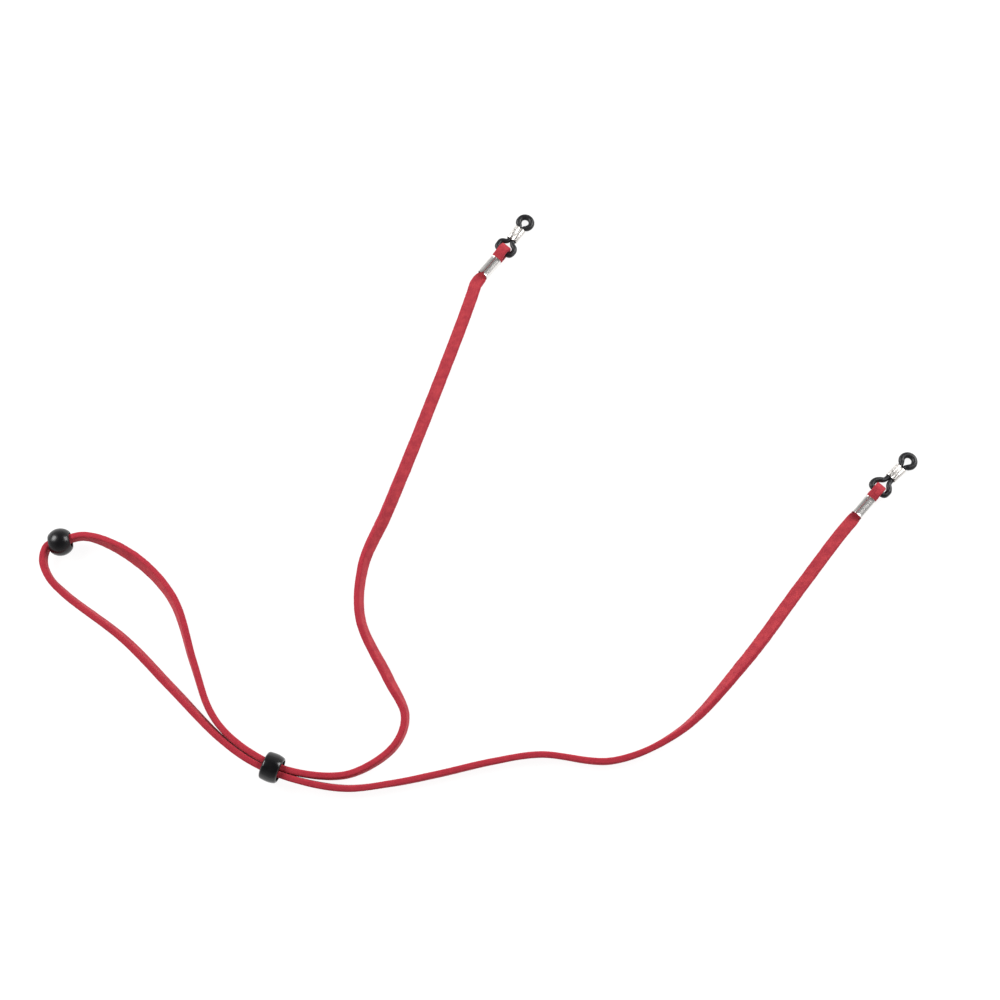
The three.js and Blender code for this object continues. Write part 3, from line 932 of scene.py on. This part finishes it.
def sleeve_shell(end):
    """The rings of the shell: out along its outside, and back along its inside."""
    inner = NECK_STRAND + SLEEVE_CLEARANCE
    outer = inner + SHELL_WALL
    near, far = end["sleeve_start"], end["sleeve_start"] + SLEEVE_LENGTH
    path = [(near + END_ROUND, outer), (far - END_ROUND, outer), (far, outer - END_ROUND)]
    path += [(far, inner + END_ROUND), (far - END_ROUND, inner), (near + END_ROUND, inner)]
    path += [(near, inner + END_ROUND), (near, outer - END_ROUND)]
    return [[loop_place(end, out, x, z) for x, z in two_lobes(radius)] for out, radius in path]


# %% The ribs, by Geometry Nodes
RIB_COUNT = 13
RIB_PITCH = 0.33
RIB_RADIUS = 0.10
RIB_SINK = 0.065


def rib_tree():
    """A node tree that turns an outline into a rib and repeats it."""
    tree = bpy.data.node_groups.new("sleeve_ribs", "GeometryNodeTree")
    tree.interface.new_socket("Outline", in_out="INPUT", socket_type="NodeSocketGeometry")
    for label, kind in (("Ribs", "NodeSocketInt"), ("Pitch", "NodeSocketVector"),
                        ("Rib radius", "NodeSocketFloat"), ("Finish", "NodeSocketMaterial")):
        tree.interface.new_socket(label, in_out="INPUT", socket_type=kind)
    tree.interface.new_socket("Ribs", in_out="OUTPUT", socket_type="NodeSocketGeometry")
    node = {name: tree.nodes.new(kind) for name, kind in (
        ("given", "NodeGroupInput"), ("result", "NodeGroupOutput"),
        ("curve", "GeometryNodeMeshToCurve"), ("round", "GeometryNodeCurvePrimitiveCircle"),
        ("tube", "GeometryNodeCurveToMesh"), ("row", "GeometryNodeMeshLine"),
        ("repeat", "GeometryNodeInstanceOnPoints"), ("real", "GeometryNodeRealizeInstances"),
        ("finish", "GeometryNodeSetMaterial"))}
    node["round"].inputs["Resolution"].default_value = 8
    link = tree.links.new
    link(node["given"].outputs["Outline"], node["curve"].inputs["Mesh"])
    link(node["given"].outputs["Rib radius"], node["round"].inputs["Radius"])
    link(node["curve"].outputs["Curve"], node["tube"].inputs["Curve"])
    link(node["round"].outputs["Curve"], node["tube"].inputs["Profile Curve"])
    link(node["given"].outputs["Ribs"], node["row"].inputs["Count"])
    link(node["given"].outputs["Pitch"], node["row"].inputs["Offset"])
    link(node["row"].outputs["Mesh"], node["repeat"].inputs["Points"])
    link(node["tube"].outputs["Mesh"], node["repeat"].inputs["Instance"])
    link(node["repeat"].outputs["Instances"], node["real"].inputs["Geometry"])
    link(node["real"].outputs["Geometry"], node["finish"].inputs["Geometry"])
    link(node["given"].outputs["Finish"], node["finish"].inputs["Material"])
    link(node["finish"].outputs["Geometry"], node["result"].inputs["Ribs"])
    return tree


def baked(tree, name, mesh, values):
    """The plain mesh that a node tree makes from a mesh, with its named inputs set."""
    holder = bpy.data.objects.new(name, mesh)
    bpy.context.scene.collection.objects.link(holder)
    steps = holder.modifiers.new(name, "NODES")
    steps.node_group = tree
    for socket in tree.interface.items_tree:
        if socket.in_out == "INPUT" and socket.name in values:
            steps[socket.identifier] = values[socket.name]
    holder.update_tag()
    graph = bpy.context.evaluated_depsgraph_get()
    made = bpy.data.meshes.new_from_object(holder.evaluated_get(graph), depsgraph=graph)
    bpy.data.objects.remove(holder)
    return made


RIB_TREE = rib_tree()


def ribbed_sleeve(side, end):
    lobe_radius = NECK_STRAND + SLEEVE_CLEARANCE + SHELL_WALL - RIB_SINK
    first = end["sleeve_start"] + (SLEEVE_LENGTH - RIB_PITCH * (RIB_COUNT - 1)) / 2
    outline = [loop_place(end, first, x, z) * MM for x, z in two_lobes(lobe_radius)]
    loop = bpy.data.meshes.new("rib_outline")
    loop.from_pydata(outline, [(i, (i + 1) % len(outline)) for i in range(len(outline))], [])
    pitch = (loop_place(end, first + RIB_PITCH, 0, 0) - loop_place(end, first, 0, 0)) * MM
    ribs = baked(RIB_TREE, "ribs", loop, {
        "Ribs": RIB_COUNT, "Pitch": pitch, "Rib radius": RIB_RADIUS * MM, "Finish": NICKEL_SLEEVE})
    vertices, faces = loft(sleeve_shell(end), closed=True)
    start = len(vertices)
    vertices += [np.array(v.co) / MM for v in ribs.vertices]
    faces += [tuple(start + i for i in face.vertices) for face in ribs.polygons]
    sleeve = piece_from(f"{side}_ribbed_sleeve", vertices, faces, sharp=60)
    sleeve.data.materials.append(NICKEL_SLEEVE)
    return settle(sleeve, f"{side}_sleeve", [f"{side}_loop_sleeve"])


for side, end in ENDS.items():
    ribbed_sleeve(side, end)

# %% [markdown]
# ## Bead and slider
# Both are turned or moulded round a bore, so both are a closed profile that is revolved. A sphere with
# a boolean hole would do for the bead, but its rim would be a knife edge, and a rim that is rounded
# in the profile catches light as a moulded one does. The slider bulges a little between its rounded
# ends.

# %% Bead and slider
BEAD_RADIUS = 4.35
BEAD_BORE = 2.4
BEAD_RIM = 0.28
BEAD_AT = (-133.17, -18.01)
BEAD_HEADING = math.radians(12.5)
SLIDER_RADIUS = 4.5
SLIDER_BORE = 3.5
SLIDER_LENGTH = 5.85
SLIDER_ROUND = 0.75
SLIDER_RIM = 0.2
SLIDER_BULGES = (0.36, 0.16)
SIDE_RINGS = 8
SLIDER_ARC_CENTRE = (-46.27, -44.06)
SLIDER_ARC_RADIUS = 48
SLIDER_ANGLE = math.radians(247.8)
TURN_STEPS = 96


def arc(x, radius, size, start, stop, steps):
    """Profile points (along, radius) on a small arc about a point, in degrees."""
    angles = [math.radians(start + (stop - start) * i / steps) for i in range(steps + 1)]
    return [(x + size * math.cos(a), radius + size * math.sin(a)) for a in angles]


def revolved(name, profile, at, height, heading):
    """A closed profile of (along, radius) turned round an axis that lies level."""
    c, s = math.cos(heading), math.sin(heading)
    rings = []
    for k in range(TURN_STEPS):
        angle = 2 * math.pi * k / TURN_STEPS
        ring = []
        for along, radius in profile:
            across = radius * math.cos(angle)
            ring.append((at[0] + along * c - across * s, at[1] + along * s + across * c,
                         height + radius * math.sin(angle)))
        rings.append(ring)
    return piece_from(name, *loft(rings, closed=True), sharp=45)


def bead_profile():
    """The ball's outside between the two rounded rims, and its bore."""
    # A rim is a small arc that touches both the ball and the bore.
    rim_radius = BEAD_BORE + BEAD_RIM
    rim_at = math.sqrt((BEAD_RADIUS - BEAD_RIM) ** 2 - rim_radius**2)
    lean = math.degrees(math.atan2(rim_radius, rim_at))
    profile = arc(0, 0, BEAD_RADIUS, lean, 180 - lean, 48)
    profile += arc(-rim_at, rim_radius, BEAD_RIM, 180 - lean, 270, 6)[1:]
    profile += arc(rim_at, rim_radius, BEAD_RIM, -90, lean, 6)[:-1]
    return profile


def slider_half(bulge):
    """One half of the barrel's profile, from its bore round its end to its waist."""
    half = SLIDER_LENGTH / 2
    at, end_radius = half - SLIDER_ROUND, SLIDER_RADIUS - bulge
    # The end's rounding starts where the bulged side has its slope, so that no edge shows.
    slope = math.atan(2 * bulge / at)
    round_at = at - SLIDER_ROUND * math.sin(slope)
    round_radius = end_radius - SLIDER_ROUND * math.cos(slope)
    rounded = arc(round_at, round_radius, SLIDER_ROUND, 0, 90 - math.degrees(slope), SIDE_RINGS)
    rims = arc(rounded[0][0] - SLIDER_RIM, SLIDER_BORE + SLIDER_RIM, SLIDER_RIM, -90, 0, 4)
    side = []
    for i in range(1, SIDE_RINGS + 1):
        share = 1 - i / SIDE_RINGS
        side.append((at * share, SLIDER_RADIUS - bulge * share**2))
    return rims + rounded + side


def slider_profile():
    """The barrel: two halves that bulge unevenly, as a moulding with draft does."""
    ahead, behind = (slider_half(bulge) for bulge in SLIDER_BULGES)
    return ahead + [(-x, radius) for x, radius in reversed(behind[:-1])]


bead = revolved("lace_bead", bead_profile(), BEAD_AT, BEAD_RADIUS, BEAD_HEADING)
bead.data.materials.append(SATIN_PLASTIC)
settle(bead, "bead", ["bead"])

slider_at = (SLIDER_ARC_CENTRE[0] + SLIDER_ARC_RADIUS * math.cos(SLIDER_ANGLE),
             SLIDER_ARC_CENTRE[1] + SLIDER_ARC_RADIUS * math.sin(SLIDER_ANGLE))
slider = revolved("barrel_slider", slider_profile(), slider_at, SLIDER_RADIUS, SLIDER_ANGLE + math.pi / 2)
slider.data.materials.append(GLOSS_PLASTIC)
settle(slider, "slider", ["slider"])

# %% [markdown]
# ## Loose fibres
# Up close, suede is never clean edged: short fibres stand out of its nap and its cut sides. A hair
# system is heavy and doesn't export, so Geometry Nodes scatter one tiny three-sided spike over the
# lace, with a fixed seed. An attribute on the lace says how long the fibres may grow, because they
# would show through the bead, the slider and the crimps if they stood up there.

# %% Where fibres may grow
FIBRE_LENGTH = 0.30
FIBRE_THICKNESS = 0.016
FIBRES_PER_SQUARE_METRE = 1.6e6
FIBRE_SEED = 11
CALM_REACH = 9.0
CALM_STEP = 3  # degrees of slider travel between two calm places


def mark_growth(piece, calm_places, calm_reach):
    """A point attribute that is 1 where fibres stand, and falls to 0 near the calm places."""
    growth = piece.data.attributes.new("growth", "FLOAT", "POINT")
    values = []
    for vertex in piece.data.vertices:
        away = min(np.linalg.norm(np.array(vertex.co) / MM - place) for place in calm_places)
        values.append(smooth_step(away, calm_reach * 0.6, calm_reach))
    growth.data.foreach_set("value", values)


slider_place = np.array([*slider_at, SLIDER_RADIUS])
slider_turn = [joint for joint in frame["joints"] if joint["name"] == "slider_travel"][0]["range_deg"]
calm = [np.array([*BEAD_AT, BEAD_RADIUS])]
for degrees in range(int(slider_turn[0]), int(slider_turn[1]) + 1, CALM_STEP):
    angle = SLIDER_ANGLE + math.radians(degrees)
    calm.append(np.array([SLIDER_ARC_CENTRE[0] + SLIDER_ARC_RADIUS * math.cos(angle),
                          SLIDER_ARC_CENTRE[1] + SLIDER_ARC_RADIUS * math.sin(angle), SLIDER_RADIUS]))
calm += [end_point(end, CRIMP_MIDDLE, 0, UPPER_LAYER) for end in ENDS.values()]
mark_growth(free_lace, calm, CALM_REACH)
print("fibres stay short near", len(calm), "places")

# %% The fibres, by Geometry Nodes
def fibre_tree():
    """A node tree that scatters spikes over a mesh, longer where the growth attribute allows it."""
    tree = bpy.data.node_groups.new("loose_fibres", "GeometryNodeTree")
    tree.interface.new_socket("Lace", in_out="INPUT", socket_type="NodeSocketGeometry")
    for label, kind in (("Density", "NodeSocketFloat"), ("Length", "NodeSocketFloat"),
                        ("Thickness", "NodeSocketFloat"), ("Seed", "NodeSocketInt"),
                        ("Finish", "NodeSocketMaterial")):
        tree.interface.new_socket(label, in_out="INPUT", socket_type=kind)
    tree.interface.new_socket("Fibres", in_out="OUTPUT", socket_type="NodeSocketGeometry")
    node = {name: tree.nodes.new(kind) for name, kind in (
        ("given", "NodeGroupInput"), ("result", "NodeGroupOutput"),
        ("scatter", "GeometryNodeDistributePointsOnFaces"), ("spike", "GeometryNodeMeshCone"),
        ("grow", "GeometryNodeInstanceOnPoints"), ("lean", "FunctionNodeRandomValue"),
        ("tilt", "FunctionNodeRotateRotation"), ("turn", "FunctionNodeEulerToRotation"),
        ("growth", "GeometryNodeInputNamedAttribute"), ("vary", "FunctionNodeRandomValue"),
        ("scale", "ShaderNodeMath"), ("real", "GeometryNodeRealizeInstances"),
        ("finish", "GeometryNodeSetMaterial"))}
    node["spike"].inputs["Vertices"].default_value = 3
    node["spike"].inputs["Radius Top"].default_value = 0.0
    node["lean"].data_type = "FLOAT_VECTOR"
    node["lean"].inputs["Min"].default_value = (-1.25, -1.25, -3.1)
    node["lean"].inputs["Max"].default_value = (1.25, 1.25, 3.1)
    node["tilt"].rotation_space = "LOCAL"
    node["growth"].data_type = "FLOAT"
    node["growth"].inputs["Name"].default_value = "growth"
    node["vary"].inputs[2].default_value = 0.35
    node["vary"].inputs[3].default_value = 1.0
    node["scale"].operation = "MULTIPLY"
    link = tree.links.new
    given = node["given"].outputs
    link(given["Lace"], node["scatter"].inputs["Mesh"])
    link(given["Density"], node["scatter"].inputs["Density"])
    link(given["Seed"], node["scatter"].inputs["Seed"])
    link(given["Seed"], node["lean"].inputs["Seed"])
    link(given["Thickness"], node["spike"].inputs["Radius Bottom"])
    link(given["Length"], node["spike"].inputs["Depth"])
    link(node["scatter"].outputs["Points"], node["grow"].inputs["Points"])
    link(node["scatter"].outputs["Rotation"], node["tilt"].inputs["Rotation"])
    link(node["lean"].outputs["Value"], node["turn"].inputs["Euler"])
    link(node["turn"].outputs["Rotation"], node["tilt"].inputs["Rotate By"])
    link(node["tilt"].outputs["Rotation"], node["grow"].inputs["Rotation"])
    link(node["spike"].outputs["Mesh"], node["grow"].inputs["Instance"])
    link(node["growth"].outputs["Attribute"], node["scale"].inputs[0])
    link(node["vary"].outputs[1], node["scale"].inputs[1])
    link(node["scale"].outputs[0], node["grow"].inputs["Scale"])
    link(node["grow"].outputs["Instances"], node["real"].inputs["Geometry"])
    link(node["real"].outputs["Geometry"], node["finish"].inputs["Geometry"])
    link(given["Finish"], node["finish"].inputs["Material"])
    link(node["finish"].outputs["Geometry"], node["result"].inputs["Fibres"])
    return tree


fibre_mesh = baked(fibre_tree(), "fibres", free_lace.data, {
    "Density": FIBRES_PER_SQUARE_METRE, "Length": FIBRE_LENGTH * MM, "Thickness": FIBRE_THICKNESS * MM,
    "Seed": FIBRE_SEED, "Finish": RED_SUEDE})
fibres = bpy.data.objects.new("loose_fibres", fibre_mesh)
bpy.context.scene.collection.objects.link(fibres)
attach(fibres, "lace")
print("loose fibres:", len(fibre_mesh.polygons), "faces")
